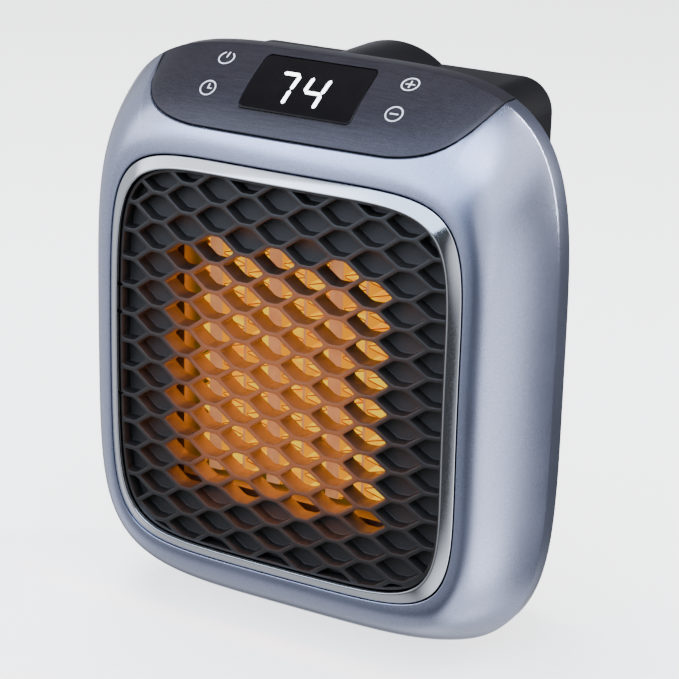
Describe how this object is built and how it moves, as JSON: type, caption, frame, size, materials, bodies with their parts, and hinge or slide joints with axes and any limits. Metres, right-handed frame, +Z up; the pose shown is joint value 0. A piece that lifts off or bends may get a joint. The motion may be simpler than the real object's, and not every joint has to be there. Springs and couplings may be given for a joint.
{
  "type": "plug-in fan heater",
  "caption": "Compact convector heater with a fan that hangs on a wall outlet by its own turning plug: rounded square body, honeycomb grille, tilted display panel on top.",
  "frame": {"origin": "centre of the plug disc's flat face, the one that meets the wall outlet", "axes": "+X to the right as seen by someone looking at the grille, +Y from the grille towards the wall and along the plug's blades, +Z up"},
  "size_m": [0.1296, 0.0839, 0.1485],
  "materials": {
    "silver_paint": "ABS moulding in metallic silver paint",
    "panel_foil": "gunmetal foil, finely brushed across",
    "chrome": "bright chrome plating on a moulded ring",
    "grille_black": "heat-proof moulding, satin dark grey",
    "housing_black": "flame-retardant moulding, fine satin grain",
    "dark_glass": "polished smoked acrylic",
    "aluminium": "bare rolled fins",
    "steel": "zinc-plated",
    "brass": "bare stamped brass",
    "board_green": "glass-epoxy board with green solder mask",
    "pale_nylon": "natural glass-filled nylon",
    "lead_red": "silicone insulation"
  },
  "bodies": {
    "plug": {"plug_disc": "housing_black", "live_blade": "brass", "neutral_blade": "brass", "outer_slip_ring": "brass", "inner_slip_ring": "brass"},
    "housing": {"front_shell": "silver_paint", "control_panel": "panel_foil", "display_window": "dark_glass", "chrome_ring": "chrome", "front_grille": "grille_black", "element_frame": "pale_nylon", "heating_element": "aluminium", "element_terminal_1": "brass", "element_terminal_2": "brass", "thermal_cutout": "steel", "fan_duct": "housing_black", "duct_screw_1": "steel", "duct_screw_2": "steel", "duct_screw_3": "steel", "duct_screw_4": "steel", "motor_spider": "housing_black", "fan_motor": "steel", "motor_screw_1": "steel", "motor_screw_2": "steel", "rear_housing": "housing_black", "housing_screw_1": "steel", "housing_screw_2": "steel", "housing_screw_3": "steel", "housing_screw_4": "steel", "plug_retainer": "pale_nylon", "retainer_screw_1": "steel", "retainer_screw_2": "steel", "contact_wiper_1": "brass", "contact_wiper_2": "brass", "main_board": "board_green", "board_screw_1": "steel", "board_screw_2": "steel", "relay": "housing_black", "filter_capacitor": "pale_nylon", "terminal_block": "pale_nylon", "display_module": "dark_glass", "control_board": "board_green", "touch_pad_1": "steel", "touch_pad_2": "steel", "touch_pad_3": "steel", "touch_pad_4": "steel", "switch_bezel": "housing_black", "element_lead_1": "lead_red", "element_lead_2": "lead_red", "motor_lead_1": "lead_red", "motor_lead_2": "lead_red", "switch_lead_1": "lead_red", "switch_lead_2": "lead_red"},
    "fan": {"fan_impeller": "grille_black", "motor_shaft": "steel"},
    "rocker": {"power_rocker": "housing_black"}
  },
  "joints": [
    {"name": "plug_turn", "type": "hinge", "parent": "plug", "child": "housing", "pos_m": [0, 0, 0], "axis": [0, 1, 0], "range_deg": [0, 180]},
    {"name": "fan_spin", "type": "hinge", "parent": "housing", "child": "fan", "pos_m": [0, -0.033, -0.0538], "axis": [0, 1, 0], "continuous": true},
    {"name": "rocker_tilt", "type": "hinge", "parent": "housing", "child": "rocker", "pos_m": [-0.0446, -0.0173, -0.0798], "axis": [0, 1, 0], "range_deg": [-16, 0]}
  ]
}
